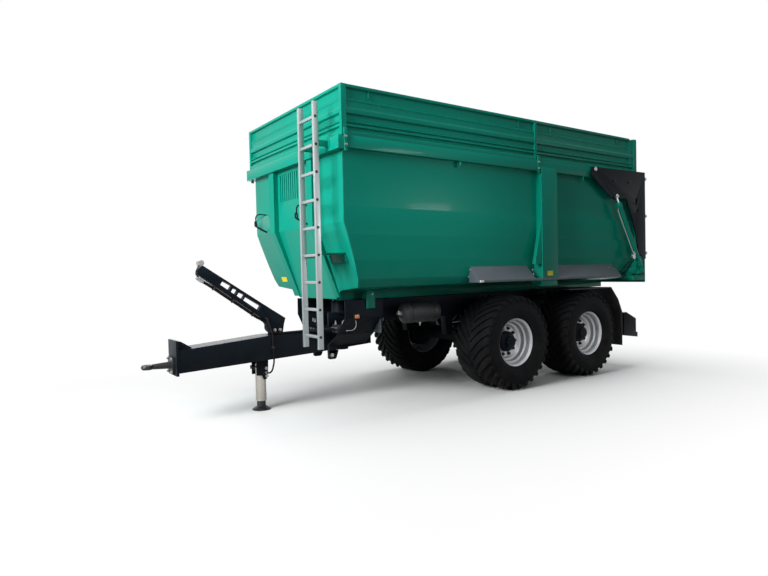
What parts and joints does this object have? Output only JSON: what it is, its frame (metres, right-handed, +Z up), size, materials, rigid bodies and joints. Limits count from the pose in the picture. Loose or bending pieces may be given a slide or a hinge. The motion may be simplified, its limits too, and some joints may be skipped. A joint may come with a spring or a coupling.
{
  "type": "tandem tipping trailer",
  "caption": "Tandem-axle rear-tipping trough trailer with ribbed extension, raising tailgate, telescopic ram, drawbar and parking jack.",
  "frame": {"origin": "on the ground under the middle of the trailer's whole length and width, parked on wheels and jack", "axes": "+X forward to the towing eye, +Y to the trailer's left, +Z up"},
  "size_m": [7.073, 2.534, 3.39],
  "materials": {
    "green_paint": "gloss coat paint",
    "dark_paint": "satin paint",
    "black_plastic": "matt black",
    "tyre": "matt rubber",
    "rim_silver": "silver paint",
    "aluminium": "bare, satin",
    "galvanised": "hot-dip zinc",
    "chrome": "hard chrome",
    "black_steel": "black oxide",
    "red_lens": "clear red",
    "rubber_hose": "matt",
    "amber_lens": "clear amber"
  },
  "bodies": {
    "chassis": {"chassis_frame": "dark_paint", "front_cradle": "dark_paint", "springs_left": "dark_paint", "springs_right": "dark_paint", "axle_front": "dark_paint", "axle_rear": "dark_paint", "drawbar": "dark_paint", "towing_eye": "black_steel", "hose_arm": "dark_paint", "jack_bracket": "dark_paint", "mudguard_left": "black_plastic", "mudguard_right": "black_plastic", "light_carrier": "dark_paint", "rear_lamp_left": "red_lens", "rear_lamp_right": "red_lens", "air_tank": "black_plastic", "arm_hoses": "rubber_hose", "jack_hose": "rubber_hose"},
    "tub": {"tub_side_left": "green_paint", "tub_side_right": "green_paint", "tub_floor": "green_paint", "tub_underframe": "green_paint", "tub_front": "green_paint", "extension_left": "green_paint", "extension_right": "green_paint", "extension_front": "green_paint", "extension_rear": "green_paint", "side_post_left": "green_paint", "side_post_right": "green_paint", "deflector_left": "dark_paint", "deflector_right": "dark_paint", "ladder": "aluminium"},
    "tailgate": {"tailgate_panel": "green_paint", "gate_arm_left": "dark_paint", "gate_arm_right": "dark_paint"},
    "gate_barrel_left": {"gate_barrel_left": "green_paint", "gate_valve_left": "galvanised"},
    "gate_rod_left": {"gate_rod_left": "chrome"},
    "gate_barrel_right": {"gate_barrel_right": "green_paint", "gate_valve_right": "galvanised"},
    "gate_rod_right": {"gate_rod_right": "chrome"},
    "tipping_barrel": {"tipping_barrel": "dark_paint"},
    "tipping_stage_1": {"tipping_stage_1": "chrome"},
    "tipping_stage_2": {"tipping_stage_2": "chrome"},
    "tipping_stage_3": {"tipping_stage_3": "chrome"},
    "tipping_stage_4": {"tipping_stage_4": "chrome"},
    "tipping_stage_5": {"tipping_stage_5": "chrome"},
    "tipping_stage_6": {"tipping_stage_6": "chrome"},
    "jack_tube": {"jack_tube": "galvanised"},
    "jack_leg": {"jack_leg": "black_steel"},
    "wheel_front_left": {"tyre_front_left": "tyre", "rim_front_left": "rim_silver"},
    "wheel_front_right": {"tyre_front_right": "tyre", "rim_front_right": "rim_silver"},
    "wheel_rear_left": {"tyre_rear_left": "tyre", "rim_rear_left": "rim_silver"},
    "wheel_rear_right": {"tyre_rear_right": "tyre", "rim_rear_right": "rim_silver"}
  },
  "joints": [
    {"name": "tub_tip", "type": "hinge", "parent": "chassis", "child": "tub", "pos_m": [-3.0755, 0, 1.1275], "axis": [0, -1, 0], "range_deg": [0, 45]},
    {"name": "tailgate_hinge", "type": "hinge", "parent": "tub", "child": "tailgate", "pos_m": [-2.2255, 0, 2.87], "axis": [0, 1, 0], "range_deg": [0, 80]},
    {"name": "gate_cylinder_swing_left", "type": "hinge", "parent": "tub", "child": "gate_barrel_left", "pos_m": [-3.3005, 1.23, 1.45], "axis": [0, -1, 0], "range_deg": [0, 10.82]},
    {"name": "gate_rod_slide_left", "type": "slide", "parent": "gate_barrel_left", "child": "gate_rod_left", "axis": [0.5091, 0, 0.8607], "range_m": [0, 0.6735]},
    {"name": "gate_cylinder_swing_right", "type": "hinge", "parent": "tub", "child": "gate_barrel_right", "pos_m": [-3.3005, -1.23, 1.45], "axis": [0, -1, 0], "range_deg": [0, 10.82]},
    {"name": "gate_rod_slide_right", "type": "slide", "parent": "gate_barrel_right", "child": "gate_rod_right", "axis": [0.5091, 0, 0.8607], "range_m": [0, 0.6735]},
    {"name": "tipping_cylinder_swing", "type": "hinge", "parent": "chassis", "child": "tipping_barrel", "pos_m": [1.2245, 0, 0.985], "axis": [0, -1, 0], "range_deg": [0, 22.6]},
    {"name": "tipping_stage_slide_1", "type": "slide", "parent": "tipping_barrel", "child": "tipping_stage_1", "axis": [0, 0, 1], "range_m": [0, 0.5459]},
    {"name": "tipping_stage_slide_2", "type": "slide", "parent": "tipping_stage_1", "child": "tipping_stage_2", "axis": [0, 0, 1], "range_m": [0, 0.5459]},
    {"name": "tipping_stage_slide_3", "type": "slide", "parent": "tipping_stage_2", "child": "tipping_stage_3", "axis": [0, 0, 1], "range_m": [0, 0.5459]},
    {"name": "tipping_stage_slide_4", "type": "slide", "parent": "tipping_stage_3", "child": "tipping_stage_4", "axis": [0, 0, 1], "range_m": [0, 0.5459]},
    {"name": "tipping_stage_slide_5", "type": "slide", "parent": "tipping_stage_4", "child": "tipping_stage_5", "axis": [0, 0, 1], "range_m": [0, 0.5459]},
    {"name": "tipping_stage_slide_6", "type": "slide", "parent": "tipping_stage_5", "child": "tipping_stage_6", "axis": [0, 0, 1], "range_m": [0, 0.5459]},
    {"name": "jack_swing", "type": "hinge", "parent": "chassis", "child": "jack_tube", "pos_m": [2.2285, 0, 0.466], "axis": [0, 1, 0], "range_deg": [0, 90]},
    {"name": "jack_leg_slide", "type": "slide", "parent": "jack_tube", "child": "jack_leg", "axis": [0, 0, -1], "range_m": [0, 0.2]},
    {"name": "wheel_front_left_spin", "type": "hinge", "parent": "chassis", "child": "wheel_front_left", "pos_m": [-0.6455, 0.91, 0.595], "axis": [0, 1, 0], "continuous": true},
    {"name": "wheel_front_right_spin", "type": "hinge", "parent": "chassis", "child": "wheel_front_right", "pos_m": [-0.6455, -0.91, 0.595], "axis": [0, 1, 0], "continuous": true},
    {"name": "wheel_rear_left_spin", "type": "hinge", "parent": "chassis", "child": "wheel_rear_left", "pos_m": [-2.1055, 0.91, 0.595], "axis": [0, 1, 0], "continuous": true},
    {"name": "wheel_rear_right_spin", "type": "hinge", "parent": "chassis", "child": "wheel_rear_right", "pos_m": [-2.1055, -0.91, 0.595], "axis": [0, 1, 0], "continuous": true}
  ],
  "couplings": [
    {"joint": "gate_cylinder_swing_left", "follows": "tailgate_hinge", "ratio": 0.13462},
    {"joint": "gate_rod_slide_left", "follows": "tailgate_hinge", "m_per_rad": 0.48167},
    {"joint": "gate_cylinder_swing_right", "follows": "tailgate_hinge", "ratio": 0.13462},
    {"joint": "gate_rod_slide_right", "follows": "tailgate_hinge", "m_per_rad": 0.48167},
    {"joint": "tipping_cylinder_swing", "follows": "tub_tip", "ratio": 0.5},
    {"joint": "tipping_stage_slide_1", "follows": "tub_tip", "m_per_rad": 0.69378},
    {"joint": "tipping_stage_slide_2", "follows": "tub_tip", "m_per_rad": 0.69378},
    {"joint": "tipping_stage_slide_3", "follows": "tub_tip", "m_per_rad": 0.69378},
    {"joint": "tipping_stage_slide_4", "follows": "tub_tip", "m_per_rad": 0.69378},
    {"joint": "tipping_stage_slide_5", "follows": "tub_tip", "m_per_rad": 0.69378},
    {"joint": "tipping_stage_slide_6", "follows": "tub_tip", "m_per_rad": 0.69378}
  ]
}
